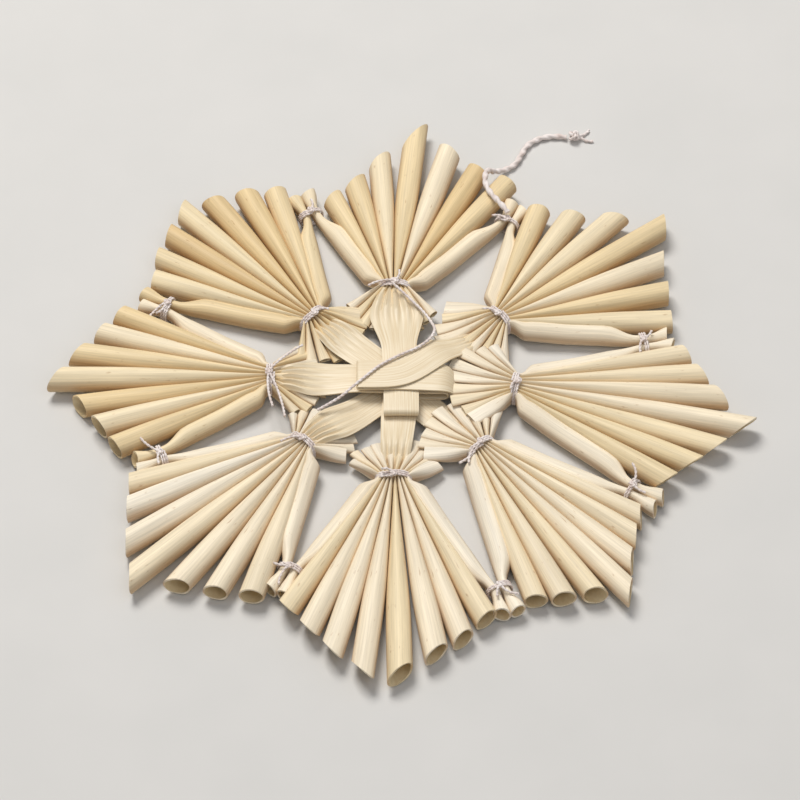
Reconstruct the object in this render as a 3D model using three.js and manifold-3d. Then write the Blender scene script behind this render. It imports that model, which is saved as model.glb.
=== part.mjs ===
// A star-shaped hanging ornament of natural rye straw, tied with white cotton thread.
// Millimetres, +Z up. The star lies flat: +Y is its north arm, and the origin is the middle of its underside.
//
// Eight fans of straw stand round a woven centre. Each fan is a bundle of straws pinched by a thread at its neck:
// the long ends spread outwards, and the short ends spread back towards the centre, like a bow tie.
// Its outermost straws are tied to those of the next fans. Four flattened straws, each folded in half, hook into
// each other at the centre, and their eight limbs run out over the bundles and under the neck threads.
import * as THREE from "three";
import { mergeVertices } from "three/addons/utils/BufferGeometryUtils.js";
import Module from "manifold-3d";

const wasm = await Module();
wasm.setup();

// ---- Driving dimensions ----
const GAP = 0.15; // left between pieces that touch
const SIDES = 6; // facets round a straw, with a flat one on top and below
const FLAT = Math.cos(Math.PI / SIDES); // a facet's distance from the middle, for a straw of half-height 1

// A straw is round where it is free, and pressed thin where a thread pinches it.
const STRAW = { wide: 4.2, high: 4.2, wall: 0.4, hollow: 9 };
const NECK = { pitch: 0.45, wide: 0.62, high: 3.2, bottom: 0.75, long: 1.6 };
const STUB = { long: 8.6, short: 5.4, hidden: 6, wide: 0.92, edge: 1.7, spread: 34 };
const EDGE = { wide: 3.9, high: 3.9 }; // the outermost straws of a fan
const TIE = { wide: 1.5, high: 2.4, long: 1.8, tail: 4.6, splay: 11, end: 2.9 };
const THREAD = { thick: 0.5, band: 1.2 }; // two or three turns lie side by side

// Each arm: where its neck is, how far its longest straw reaches past the neck, how many straws it has,
// the angle that it keeps between a tied straw and the first free one, the angles of the two scissor cuts that
// point its end, on its clockwise and its counter-clockwise side, and where its counter-clockwise edge straw is
// tied to the next arm's. Turns and angles are in degrees, and turns start from +X.
const ARMS = [
  { name: "east", turn: -3, neck: 17.3, reach: 35.5, straws: 9, room: 13,
    cuts: [52, 46], tie: { turn: 12.5, radius: 38 } },
  { name: "north_east", turn: 40.5, neck: 19.8, reach: 32, straws: 9, room: 14.5,
    cuts: [56, 48], tie: { turn: 63.5, radius: 37 } },
  { name: "north", turn: 93, neck: 19.2, reach: 32.5, straws: 9, room: 15.5,
    cuts: [60, 38], tie: { turn: 112, radius: 37.5 } },
  { name: "north_west", turn: 136, neck: 18.7, reach: 31, straws: 9, room: 14,
    cuts: [62, 58], tie: { turn: 156.5, radius: 39 } },
  { name: "west", turn: 177.5, neck: 19.8, reach: 33, straws: 9, room: 16,
    cuts: [52, 52], tie: { turn: 201.5, radius: 38.6 } },
  { name: "south_west", turn: 219.5, neck: 19.1, reach: 36, straws: 9, room: 13,
    cuts: [47, 56], tie: { turn: 245.5, radius: 39.4 } },
  { name: "south", turn: 266.5, neck: 19, reach: 38.5, straws: 10, room: 12,
    cuts: [46, 50], tie: { turn: 290, radius: 42 } },
  { name: "south_east", turn: 312.5, neck: 17.6, reach: 34.5, straws: 9, room: 12.5,
    cuts: [60, 46], tie: { turn: 329, radius: 40 } },
];

// The flattened straws of the woven centre: their width at the fold, over a bundle and under its thread.
const RIBBON = { wide: 5.3, waist: 4.2, end: 3, thick: 0.34, fold: 6.4, bulge: 0.7, past: 1.6 };
// They lie on each other in levels as far as they cross, and then rise or dip to the bundles.
const WEAVE = { bottom: 1.1, level: RIBBON.thick + 0.13, straight: 2.2, crossing: 6.8, landing: 7 };
// Each folded straw: the direction of its fold, the arms that its two limbs reach, and each limb's level.
const FOLDED = [
  { name: "north", turn: 90, limbs: [{ arm: "south_east", level: 0 }, { arm: "south", level: 2 }] },
  { name: "east", turn: 0, limbs: [{ arm: "south_west", level: 1 }, { arm: "west", level: 4 }] },
  { name: "south", turn: 270, limbs: [{ arm: "north_west", level: 3 }, { arm: "north", level: 5 }] },
  { name: "west", turn: 180, limbs: [{ arm: "east", level: 6 }, { arm: "north_east", level: 7 }] },
];

// The hanging thread is doubled and twisted. It leaves the tie between the north and north-east arms, crosses
// the last free straw of the north fan, drops past its tip, and lies out over the surface to its knot.
const CORD = { thick: 1, steps: 14, knot: 1 };
const CORD_ROUTE = [
  [16.6, 33.6, 4.1], [15.4, 35.2, 4.5], [14.0, 37.2, 4.55], [13.2, 39.4, 4.5], [13.2, 41.4, 4.4],
  [13.7, 43.2, 3.3], [14.8, 44.6, 1.6], [16.4, 45.8, 0.7], [18.0, 47.2, 0.55], [19.0, 49.2, 0.55],
  [20.0, 51.2, 0.55], [21.8, 52.6, 0.55], [24.0, 53.2, 0.55], [26.2, 53.0, 0.55],
].map((p) => new THREE.Vector3(...p));

// One end of the north arm's neck thread was left long. It lies in a curve over the woven centre.
const LOOSE = { thick: 0.5, steps: 16 };
const LOOSE_ROUTE = [
  [-1.3, 18.0, 5.05], [0.2, 16.6, 4.6], [1.9, 14.9, 4.15], [3.5, 13.1, 3.95], [4.7, 10.9, 4.05],
  [5.1, 8.8, 4.85], [4.4, 6.7, 5.1], [2.7, 5.0, 5.1], [0.6, 3.8, 5.1], [-1.4, 2.6, 5.1],
  [-3.3, 1.2, 5.1], [-5.2, -0.7, 5.1], [-7.2, -2.6, 4.8], [-9.0, -4.2, 4.35], [-10.8, -5.6, 4.25],
  [-12.6, -6.7, 4.0],
].map((p) => new THREE.Vector3(...p));

// ---- Finishes ----
const strawFinish = new THREE.MeshStandardMaterial({ color: 0xe3d2a1, roughness: 0.5, metalness: 0 });
const ribbonFinish = new THREE.MeshStandardMaterial({ color: 0xeadcb4, roughness: 0.45, metalness: 0 });
const threadFinish = new THREE.MeshStandardMaterial({ color: 0xe9e2dc, roughness: 0.9, metalness: 0 });

// ---- Geometry helpers ----
const UP = new THREE.Vector3(0, 0, 1);
const radians = THREE.MathUtils.degToRad;
const mix = THREE.MathUtils.lerp;
const polar = (turn, radius, z = 0) =>
  new THREE.Vector3(radius * Math.cos(radians(turn)), radius * Math.sin(radians(turn)), z);
const bearing = (from, to) => THREE.MathUtils.radToDeg(Math.atan2(to.y - from.y, to.x - from.x));
const turned = (a, b) => ((((b - a) % 360) + 540) % 360) - 180; // from a to b the short way, in degrees
const flatDistance = (a, b) => Math.hypot(a.x - b.x, a.y - b.y);

function solidOf(geometry) {
  const bare = geometry.clone();
  bare.deleteAttribute("normal");
  bare.deleteAttribute("uv");
  const merged = mergeVertices(bare, 1e-3);
  const vertProperties = merged.attributes.position.array;
  return new wasm.Manifold(new wasm.Mesh({ numProp: 3, vertProperties, triVerts: new Uint32Array(merged.index.array) }));
}

function geometryOf(solid) {
  const mesh = solid.getMesh();
  return new THREE.BufferGeometry()
    .setAttribute("position", new THREE.BufferAttribute(mesh.vertProperties, 3))
    .setIndex(new THREE.BufferAttribute(mesh.triVerts, 1));
}

// One cross-section of a straw: its middle, the way the straw runs there, and its size.
// A slant moves its left and right edges along the straw, as a slanting cut does.
function section(at, heading, wide, high, { up = UP, slant = 0 } = {}) {
  return { at, along: polar(heading, 1), side: polar(heading - 90, 1), up, wide, high, slant };
}

// A straw through its sections, from its inner end to its tip. A hollow one is open at the tip,
// and its hollow narrows to nothing over the last stretch.
function straw(sections, hollow) {
  const last = sections.length - 1;
  const outline = [[0, 0], ...sections.map((_, i) => [1, i])];
  if (hollow) outline.push([1 - (2 * STRAW.wall) / sections[last].wide, last], [0, last - 1]);
  else outline.push([0, last]);
  const profile = outline.map(([r, i]) => new THREE.Vector2(r, i));
  const geometry = new THREE.LatheGeometry(profile, SIDES, Math.PI / SIDES);
  const place = geometry.attributes.position;
  const v = new THREE.Vector3();
  for (let i = 0; i < place.count; i++) {
    v.fromBufferAttribute(place, i);
    const s = sections[Math.round(v.y)];
    const aside = (v.x * s.wide) / 2;
    const moved = s.at.clone();
    moved.addScaledVector(s.side, aside);
    moved.addScaledVector(s.along, aside * s.slant);
    moved.addScaledVector(s.up, (v.z * s.high) / 2);
    place.setXYZ(i, moved.x, moved.y, moved.z);
  }
  return solidOf(geometry);
}

// ---- The arms, placed ----
for (const [k, arm] of ARMS.entries()) {
  const before = ARMS[(k + ARMS.length - 1) % ARMS.length];
  arm.at = polar(arm.turn, arm.neck);
  arm.ties = [before.tie, arm.tie];
  arm.edges = arm.ties.map((tie) => bearing(arm.at, polar(tie.turn, tie.radius)));
  const opening = turned(arm.edges[0], arm.edges[1]);
  arm.axis = arm.edges[0] + opening / 2;
  arm.pitch = (opening - 2 * arm.room) / (arm.straws - 3);
}

const neckHeight = NECK.bottom + (FLAT * NECK.high) / 2;
const neckTop = NECK.bottom + FLAT * NECK.high;
const tieHeight = THREAD.thick + GAP + (FLAT * TIE.high) / 2;

// Where a bundle's straw number i sits across the bundle, from -1 at the clockwise edge to 1 at the other.
const share = (arm, i) => (2 * i) / (arm.straws - 1) - 1;

// A straw where the neck thread pinches it, that far along the bundle.
function neckSection(arm, i, along) {
  const across = (share(arm, i) * (arm.straws - 1) * NECK.pitch) / 2;
  const at = arm.at.clone().addScaledVector(polar(arm.axis + 90, 1), across).addScaledVector(polar(arm.axis, 1), along);
  return section(at.setZ(neckHeight), arm.axis, NECK.wide, NECK.high);
}

// The short inner end: a thin blade that stands on edge, or a rounder stub at the two edges of the bundle.
function stubSection(arm, i, neck) {
  const t = share(arm, i);
  const edge = Math.abs(t) === 1;
  const hidden = Math.abs(t) < 0.4; // it ends under the flattened straw that runs over it
  const turn = arm.axis + 180 - t * STUB.spread;
  const length = hidden ? STUB.hidden : mix(STUB.long, STUB.short, t * t);
  const end = neck.at.clone().addScaledVector(polar(turn, 1), length);
  return section(end, turn + 180, edge ? STUB.edge : STUB.wide, NECK.high * (hidden ? 0.9 : 1));
}

// How wide a free straw is, that far from the neck: as wide as its neighbours let it be, until it is round.
const freeWidth = (arm, s) => Math.min(STRAW.wide, NECK.pitch + s * radians(arm.pitch) - GAP);

// A free straw widens evenly, and its tip lies on one of the fan's two scissor cuts.
function freeStraw(arm, i) {
  const turn = arm.edges[0] + arm.room + (i - 1) * arm.pitch;
  const off = turned(arm.axis, turn);
  const cut = radians(off < 0 ? arm.cuts[0] : arm.cuts[1]);
  const corner = cut + radians(Math.abs(off));
  const tip = arm.at.clone().add(polar(turn, (arm.reach * Math.sin(cut)) / Math.sin(corner)));
  const neck = neckSection(arm, i, 0);
  const heading = bearing(neck.at, tip);
  const long = flatDistance(neck.at, tip);
  const at = (s) => {
    const rise = Math.min(1, s / 20);
    const high = mix(NECK.high, STRAW.high, rise);
    const middle = neck.at.clone().addScaledVector(polar(heading, 1), s);
    return section(middle.setZ(mix(NECK.bottom, 0, rise) + (FLAT * high) / 2), heading, freeWidth(arm, s), high);
  };
  const end = at(long);
  end.slant = Math.sign(off) / Math.tan(corner);
  return straw([stubSection(arm, i, neck), neck, at(long - STRAW.hollow), end], true);
}

// An edge straw runs to its tie, where it is pinched again, and ends in a short flared tail.
function edgeStraw(arm, i) {
  const outwards = i > 0 ? 1 : -1; // the way across the tie, from this fan to the next
  const tie = arm.ties[i > 0 ? 1 : 0];
  const offset = (-outwards * (TIE.wide + GAP)) / 2;
  const at = polar(tie.turn, tie.radius, tieHeight).addScaledVector(polar(tie.turn + 90, 1), offset);
  const [neckIn, neckOut] = [-NECK.long / 2, NECK.long / 2].map((along) => neckSection(arm, i, along));
  const turn = bearing(neckOut.at, at);
  const run = flatDistance(neckOut.at, at);
  const between = (portion) => {
    const s = run * portion;
    const wide = Math.min(EDGE.wide, 2 * (NECK.pitch + s * radians(arm.room)) - freeWidth(arm, s));
    const middle = neckOut.at.clone().addScaledVector(polar(turn, 1), s);
    return section(middle.setZ((FLAT * EDGE.high) / 2), turn, wide, EDGE.high);
  };
  const pinched = (along) =>
    section(at.clone().addScaledVector(polar(tie.turn, 1), along), tie.turn, TIE.wide, TIE.high);
  const tailTurn = tie.turn - outwards * TIE.splay;
  const tail = at.clone().addScaledVector(polar(tailTurn, 1), TIE.long / 2 + TIE.tail);
  return straw([
    stubSection(arm, i, neckIn), neckIn, neckOut, between(0.38), between(0.74),
    pinched(-TIE.long / 2), pinched(TIE.long / 2), section(tail, tailTurn, TIE.end, TIE.end),
  ], true);
}

function fan(arm) {
  let bundle = edgeStraw(arm, 0);
  for (let i = 1; i < arm.straws - 1; i++) bundle = bundle.add(freeStraw(arm, i));
  bundle = bundle.add(edgeStraw(arm, arm.straws - 1));
  const mesh = new THREE.Mesh(geometryOf(bundle), strawFinish);
  mesh.name = "fan_" + arm.name;
  return mesh;
}

// ---- The woven centre ----
const ribbonOnNeck = neckTop + GAP + RIBBON.thick / 2;
const ribbonSection = (at, heading, wide, z, up) =>
  section(at.clone().setZ(z), heading, wide, RIBBON.thick / FLAT, { up });

// One limb, from its fold across the centre, in a bend where it needs one, to just past the neck thread.
function limbSections(folded, limb) {
  const arm = ARMS.find((a) => a.name === limb.arm);
  const level = WEAVE.bottom + limb.level * WEAVE.level + RIBBON.thick / 2;
  const inwards = folded.turn + 180;
  const way = polar(arm.turn, 1);
  const bend = new THREE.QuadraticBezierCurve3(
    polar(folded.turn, WEAVE.straight), new THREE.Vector3(), polar(arm.turn, WEAVE.straight));
  const after = inwards + turned(inwards, arm.turn);
  const end = arm.at.clone().add(polar(arm.axis, RIBBON.past));
  return [
    ribbonSection(polar(folded.turn, RIBBON.fold), inwards, RIBBON.wide, level),
    ...[0, 0.5, 1].map((t) => ribbonSection(bend.getPoint(t), mix(inwards, after, t), RIBBON.wide, level)),
    ribbonSection(way.clone().multiplyScalar(WEAVE.crossing), arm.turn, RIBBON.wide, level),
    ribbonSection(way.clone().multiplyScalar(arm.neck - WEAVE.landing), arm.turn, RIBBON.waist, ribbonOnNeck),
    ribbonSection(arm.at, arm.axis, RIBBON.end, ribbonOnNeck),
    ribbonSection(end, arm.axis, RIBBON.end, ribbonOnNeck),
  ];
}

// A flattened straw folded in half. The fold is a half turn, and what the two limbs hook lies between them.
function foldedStraw(folded) {
  const [one, two] = folded.limbs.map((limb) => limbSections(folded, limb));
  const radius = (two[0].at.z - one[0].at.z) / 2;
  const outwards = polar(folded.turn, 1);
  const half = [45, 90, 135].map(radians).map((a) => {
    const at = one[0].at.clone().addScaledVector(outwards, Math.min(radius, RIBBON.bulge) * Math.sin(a));
    const up = UP.clone().multiplyScalar(Math.cos(a)).addScaledVector(outwards, -Math.sin(a));
    return ribbonSection(at, folded.turn, RIBBON.wide, one[0].at.z + radius * (1 - Math.cos(a)), up);
  });
  // Run the first limb backwards, from its neck to the fold, and the second upside down.
  const back = one.reverse().map((s) => ({ ...s, side: s.side.clone().negate() }));
  const onwards = two.map((s) => ({ ...s, up: s.up.clone().negate(), side: s.side.clone().negate() }));
  const mesh = new THREE.Mesh(geometryOf(straw([...back, ...half, ...onwards], false)), ribbonFinish);
  mesh.name = "folded_straw_" + folded.name;
  return mesh;
}

// ---- Threads ----
// A band of thread round a bundle: a six-sided loop that stands across the turn it is given.
function threadLoop(name, at, turn, wide, bottom, top) {
  const loop = (grow) => {
    const x = wide / 2 + grow;
    const [low, high] = [bottom - grow, top + grow];
    const middle = (low + high) / 2;
    const flat = x - 0.15 - grow * 0.4; // half its flat top
    return [[-flat, low], [flat, low], [x, middle], [flat, high], [-flat, high], [-x, middle]]
      .map(([a, b]) => new THREE.Vector2(a, b));
  };
  const shape = new THREE.Shape(loop(GAP + THREAD.thick));
  shape.holes.push(new THREE.Path(loop(GAP).reverse()));
  const geometry = new THREE.ExtrudeGeometry(shape, { depth: THREAD.band, bevelEnabled: false });
  const mesh = new THREE.Mesh(geometry.translate(0, 0, -THREAD.band / 2), threadFinish);
  mesh.rotation.set(Math.PI / 2, radians(turn + 90), 0, "ZXY");
  mesh.position.set(at.x, at.y, 0);
  mesh.name = name;
  return mesh;
}

function neckThread(arm) {
  const wide = (arm.straws - 1) * NECK.pitch + NECK.wide;
  const top = ribbonOnNeck + RIBBON.thick / 2;
  return threadLoop("neck_thread_" + arm.name, arm.at, arm.axis, wide, NECK.bottom, top);
}

function tieThread(arm, next) {
  const half = (FLAT * TIE.high) / 2;
  const name = `tie_thread_${arm.name}_to_${next.name}`;
  const at = polar(arm.tie.turn, arm.tie.radius);
  return threadLoop(name, at, arm.tie.turn, 2 * TIE.wide + GAP, tieHeight - half, tieHeight + half);
}

function layThread(name, points, thick, steps) {
  const route = new THREE.CatmullRomCurve3(points);
  const ring = new THREE.EllipseCurve(0, 0, thick / 2, thick / 2).getPoints(8).slice(1);
  const geometry = new THREE.ExtrudeGeometry(new THREE.Shape(ring), { steps, extrudePath: route });
  const mesh = new THREE.Mesh(geometry, threadFinish);
  mesh.name = name;
  return mesh;
}

function hangingKnot() {
  const [before, end] = CORD_ROUTE.slice(-2);
  const onward = end.clone().sub(before).setZ(0).normalize();
  const mesh = new THREE.Mesh(new THREE.IcosahedronGeometry(CORD.knot, 1), threadFinish);
  mesh.position.copy(end).addScaledVector(onward, CORD.knot + GAP).setZ(CORD.knot + 0.02);
  mesh.name = "hanging_thread_knot";
  return mesh;
}

// ---- The whole ornament, with its origin under the middle of the star ----
const star = new THREE.Group();
for (const [k, arm] of ARMS.entries()) {
  star.add(fan(arm), neckThread(arm), tieThread(arm, ARMS[(k + 1) % ARMS.length]));
}
for (const folded of FOLDED) star.add(foldedStraw(folded));
const bounds = new THREE.Box3().setFromObject(star);
star.add(
  layThread("hanging_thread", CORD_ROUTE, CORD.thick, CORD.steps),
  hangingKnot(),
  layThread("loose_thread_end", LOOSE_ROUTE, LOOSE.thick, LOOSE.steps),
);
const middle = bounds.getCenter(new THREE.Vector3());
star.position.set(-middle.x, -middle.y, -bounds.min.z);

const ornament = new THREE.Group();
ornament.add(star);
export default ornament;
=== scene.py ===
"""A flat star of straw for hanging: eight fans of round straws, a woven centre and cotton threads."""

import math
import random

import bmesh
import bpy
import numpy as np
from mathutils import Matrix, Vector


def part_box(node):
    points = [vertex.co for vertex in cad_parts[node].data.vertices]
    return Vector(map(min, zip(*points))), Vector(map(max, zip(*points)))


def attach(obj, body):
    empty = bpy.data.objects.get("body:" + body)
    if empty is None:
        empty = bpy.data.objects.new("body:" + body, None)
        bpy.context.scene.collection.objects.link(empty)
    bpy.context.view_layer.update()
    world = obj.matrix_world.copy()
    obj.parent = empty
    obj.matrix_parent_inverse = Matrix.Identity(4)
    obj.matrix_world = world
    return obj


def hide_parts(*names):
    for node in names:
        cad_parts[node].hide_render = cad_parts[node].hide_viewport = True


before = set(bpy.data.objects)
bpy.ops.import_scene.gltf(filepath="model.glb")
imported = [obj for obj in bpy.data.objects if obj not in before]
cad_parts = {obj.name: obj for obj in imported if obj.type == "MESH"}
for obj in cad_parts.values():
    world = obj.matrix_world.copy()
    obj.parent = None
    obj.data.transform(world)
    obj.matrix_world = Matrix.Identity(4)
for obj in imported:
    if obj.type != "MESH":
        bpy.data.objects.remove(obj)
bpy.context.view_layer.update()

bpy.ops.object.select_all(action="DESELECT")


# ---- Camera and light ----------------------------------------------------------------------------
# A long lens looks down on the star from its south side. One large soft light stands beyond the north edge
# and rakes along the straws, a weaker one stands in front, and the surround is even and pale.
MM = 0.001  # sizes are in millimetres until a mesh is finished, and in metres from then on
AIM = Vector((0.0, 0.5, 1.0)) * MM
VIEW_HEIGHT = 49.5  # degrees above the surface
VIEW_AWAY = 774 * MM
LENS, SENSOR = 230, 36
SURROUND, SURROUND_STRENGTH = (0.93, 0.95, 1, 1), 0.285


def polar(turn, radius, z=0.0):
    """A point or direction on the star's plane, by its turn in degrees from +X."""
    return Vector((radius * math.cos(math.radians(turn)), radius * math.sin(math.radians(turn)), z))


def aim(obj, place, target):
    """Puts a camera or a light at a place and turns it to face the target."""
    obj.location = place
    obj.rotation_euler = (target - place).to_track_quat("-Z", "Y").to_euler()


camera = bpy.data.objects.new("camera", bpy.data.cameras.new("camera"))
camera.data.lens = LENS
camera.data.sensor_width = SENSOR
camera.data.clip_start = 10 * MM
bpy.context.scene.collection.objects.link(camera)
elevation = math.radians(VIEW_HEIGHT)
aim(camera, AIM + VIEW_AWAY * Vector((0, -math.cos(elevation), math.sin(elevation))), AIM)
bpy.context.scene.camera = camera
bpy.context.scene.view_settings.view_transform = "Standard"


def soft_light(name, turn, height, away, side, watts, colour):
    """A square soft light that faces the star, at a turn and height in degrees and a distance in metres."""
    light = bpy.data.objects.new(name, bpy.data.lights.new(name, "AREA"))
    light.data.size = side
    light.data.energy = watts
    light.data.color = colour
    up = math.radians(height)
    aim(light, polar(turn, away * math.cos(up), away * math.sin(up)), Vector())
    bpy.context.scene.collection.objects.link(light)


soft_light("key_light", turn=118, height=62, away=0.9, side=0.4, watts=6.7, colour=(1, 0.985, 0.955))
soft_light("fill_light", turn=-60, height=60, away=1.0, side=0.8, watts=1.7, colour=(0.97, 0.985, 1))
surround = bpy.data.worlds.new("surround")
surround.use_nodes = True
surround.node_tree.nodes["Background"].inputs["Color"].default_value = SURROUND
surround.node_tree.nodes["Background"].inputs["Strength"].default_value = SURROUND_STRENGTH
bpy.context.scene.world = surround


# ---- Cotton threads: the hanging thread ----------------------------------------------------------
# White cotton sewing thread, two plies twisted together. The hanging thread is doubled, so it looks like a
# thin two-strand cord. It is tied in at the north-east tie, lies over a straw of the north fan and runs out
# to its knot.
def linear(code):
    """An sRGB hex colour as the linear colour that a shader wants."""
    parts = [int(code[i : i + 2], 16) / 255 for i in (1, 3, 5)]
    return (*[p / 12.92 if p <= 0.04045 else ((p + 0.055) / 1.055) ** 2.4 for p in parts], 1)


def add_node(material, kind, settings=None, **links):
    """Adds a node. Settings go to its properties or inputs. Links give an input's source; i0 is input 0."""
    node = material.node_tree.nodes.new(kind)
    for name, value in (settings or {}).items():
        if hasattr(node, name) and name not in node.inputs:
            setattr(node, name, value)
        else:
            node.inputs[name].default_value = value
    for name, source in links.items():
        numbered = name[0] == "i" and name[1:].isdigit()
        socket = node.inputs[int(name[1:]) if numbered else name.replace("_", " ")]
        material.node_tree.links.new(source, socket)
    return node


def new_material(name):
    """A material and its shader."""
    material = bpy.data.materials.new(name)
    material.use_nodes = True
    return material, material.node_tree.nodes["Principled BSDF"]


# Cotton is matt and slightly fuzzy, so it has a little sheen. Its fibres are far finer than can show, so the
# bump is drawn at 0.12 mm, and slow changes of tone stand for thick and thin places.
COTTON_STOPS = ((0.3, "#DECDC5"), (0.65, "#F3E9E4"))
SLUB, FUZZ, FUZZ_DEEP = 1.6 * MM, 0.12 * MM, 0.05 * MM
cotton, cotton_shader = new_material("twisted_cotton_thread")
cotton_place = add_node(cotton, "ShaderNodeTexCoord")
cotton_tone = add_node(
    cotton, "ShaderNodeTexNoise", {"Scale": 1 / SLUB, "Detail": 2}, Vector=cotton_place.outputs["Object"]
)
cotton_ramp = add_node(cotton, "ShaderNodeValToRGB", i0=cotton_tone.outputs["Fac"])
for element, (position, code) in zip(cotton_ramp.color_ramp.elements, COTTON_STOPS):
    element.position, element.color = position, linear(code)
cotton_fuzz = add_node(
    cotton, "ShaderNodeTexNoise", {"Scale": 1 / FUZZ, "Detail": 2}, Vector=cotton_place.outputs["Object"]
)
cotton_bump = add_node(
    cotton, "ShaderNodeBump", {"Strength": 0.4, "Distance": FUZZ_DEEP}, Height=cotton_fuzz.outputs["Fac"]
)
cotton.node_tree.links.new(cotton_ramp.outputs["Color"], cotton_shader.inputs["Base Color"])
cotton.node_tree.links.new(cotton_bump.outputs["Normal"], cotton_shader.inputs["Normal"])
cotton_shader.inputs["Roughness"].default_value = 0.85
cotton_shader.inputs["Sheen Weight"].default_value = 0.25


def smooth_line(points, step=0.2):
    """A smooth curve through the points, as evenly spaced points about a step apart."""
    p = np.array([tuple(q) for q in points], float)
    p = np.vstack([2 * p[0] - p[1], p, 2 * p[-1] - p[-2]])
    dense = []
    for a, b, c, d in zip(p, p[1:], p[2:], p[3:]):
        for t in np.linspace(0, 1, 24, endpoint=False):
            square, cube = 2 * a - 5 * b + 4 * c - d, 3 * b - a - 3 * c + d
            dense.append(0.5 * (2 * b + (c - a) * t + square * t**2 + cube * t**3))
    dense = np.array([*dense, p[-2]])
    along = np.concatenate([[0], np.cumsum(np.linalg.norm(np.diff(dense, axis=0), axis=1))])
    count = max(2, round(along[-1] / step))
    even = np.linspace(0, along[-1], count + 1)
    return np.stack([np.interp(even, along, dense[:, k]) for k in range(3)], 1)


def pick(*objects):
    """Selects these objects alone, and makes the first of them active."""
    bpy.ops.object.select_all(action="DESELECT")
    for obj in objects:
        obj.select_set(True)
    bpy.context.view_layer.objects.active = objects[0]


PLY_RADIUS, PLY_OFFSET, PLY_SIDES = 0.33, 0.17, 14  # the first two are shares of the thread's thickness


def ply_outline(thick):
    """The outline of two round plies that press together, for a thread of that full thickness."""
    radius, offset = thick * PLY_RADIUS, thick * PLY_OFFSET
    outline = []
    for k in range(PLY_SIDES):
        a = 2 * math.pi * k / PLY_SIDES
        reach = offset * abs(math.cos(a)) + math.sqrt(max(radius**2 - (offset * math.sin(a)) ** 2, 0))
        outline.append((reach * math.cos(a), reach * math.sin(a), 0))
    return outline


def twine(name, line, thick, pitch):
    """A mesh of twisted thread along a line in millimetres: its section turns once in each pitch."""
    profile_data = bpy.data.curves.new("ply_outline", "CURVE")
    ring = profile_data.splines.new("POLY")
    outline = ply_outline(thick)
    ring.points.add(len(outline) - 1)
    for point, place in zip(ring.points, outline):
        point.co = (*[c * MM for c in place], 1)
    ring.use_cyclic_u = True
    profile = bpy.data.objects.new("ply_outline", profile_data)
    bpy.context.scene.collection.objects.link(profile)
    data = bpy.data.curves.new(name, "CURVE")
    data.dimensions = "3D"
    data.bevel_mode = "OBJECT"
    data.bevel_object = profile
    data.use_fill_caps = True
    spline = data.splines.new("POLY")
    spline.points.add(len(line) - 1)
    along = 0.0
    for k, place in enumerate(line):
        along += float(np.linalg.norm(place - line[k - 1])) if k else 0.0
        spline.points[k].co = (*[c * MM for c in place], 1)
        spline.points[k].tilt = 2 * math.pi * along / pitch
    obj = bpy.data.objects.new(name, data)
    bpy.context.scene.collection.objects.link(obj)
    pick(obj)
    bpy.ops.object.convert(target="MESH")
    bpy.ops.object.mode_set(mode="EDIT")
    bpy.ops.mesh.select_all(action="SELECT")
    bpy.ops.mesh.remove_doubles(threshold=0.001 * MM)
    bpy.ops.mesh.normals_make_consistent(inside=False)
    bpy.ops.object.mode_set(mode="OBJECT")
    bpy.ops.object.shade_smooth_by_angle(angle=math.radians(60))
    bpy.data.objects.remove(profile)
    obj.data.materials.append(cotton)
    return obj


def join(name, objects):
    """Joins finished objects into one piece."""
    pick(*objects)
    if len(objects) > 1:
        bpy.ops.object.join()
    objects[0].name = objects[0].data.name = name
    return objects[0]


def overhand(lobe, high, count):
    """Offsets along an overhand knot pulled tight: three lobes that pass over and under each other."""
    offsets = []
    for t in np.linspace(0, 2 * math.pi, count):
        reach = 2 + math.cos(3 * t)
        flat = reach * math.cos(2 * t) * lobe, reach * math.sin(2 * t) * lobe
        offsets.append((*flat, math.sin(3 * t) * high))
    return offsets


def middle_of(node):
    """The middle of a node's box, in millimetres."""
    low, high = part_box(node)
    return (low + high) / 2 / MM


# The star's own middle is found from the north arm's neck, which lies at a known turn and distance from it.
NORTH_NECK = polar(93, 19.2)
star = middle_of("neck_thread_north") - NORTH_NECK
star.z = 0.0


def from_star(points):
    """Points measured from the star's middle, in the object's own frame."""
    return [Vector(p) + star for p in points]


HANGING, HANGING_TWIST = 1.0, 3.4  # its thickness, and the length in which its strands go round once
hanging_route = from_star([
    (16.6, 33.6, 4.1), (15.4, 35.2, 4.5), (14.0, 37.2, 4.55), (13.2, 39.4, 4.5), (13.2, 41.4, 4.4),
    (13.7, 43.2, 3.3), (14.8, 44.6, 1.6), (16.4, 45.8, 0.7), (18.0, 47.2, 0.55), (19.0, 49.2, 0.55),
    (20.0, 51.2, 0.55), (21.8, 52.6, 0.55), (24.0, 53.2, 0.55), (26.2, 53.0, 0.55),
])
hanging_line = smooth_line(hanging_route, step=0.3)
hanging_thread = twine("hanging_thread_twisted", hanging_line, HANGING, HANGING_TWIST)

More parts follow.
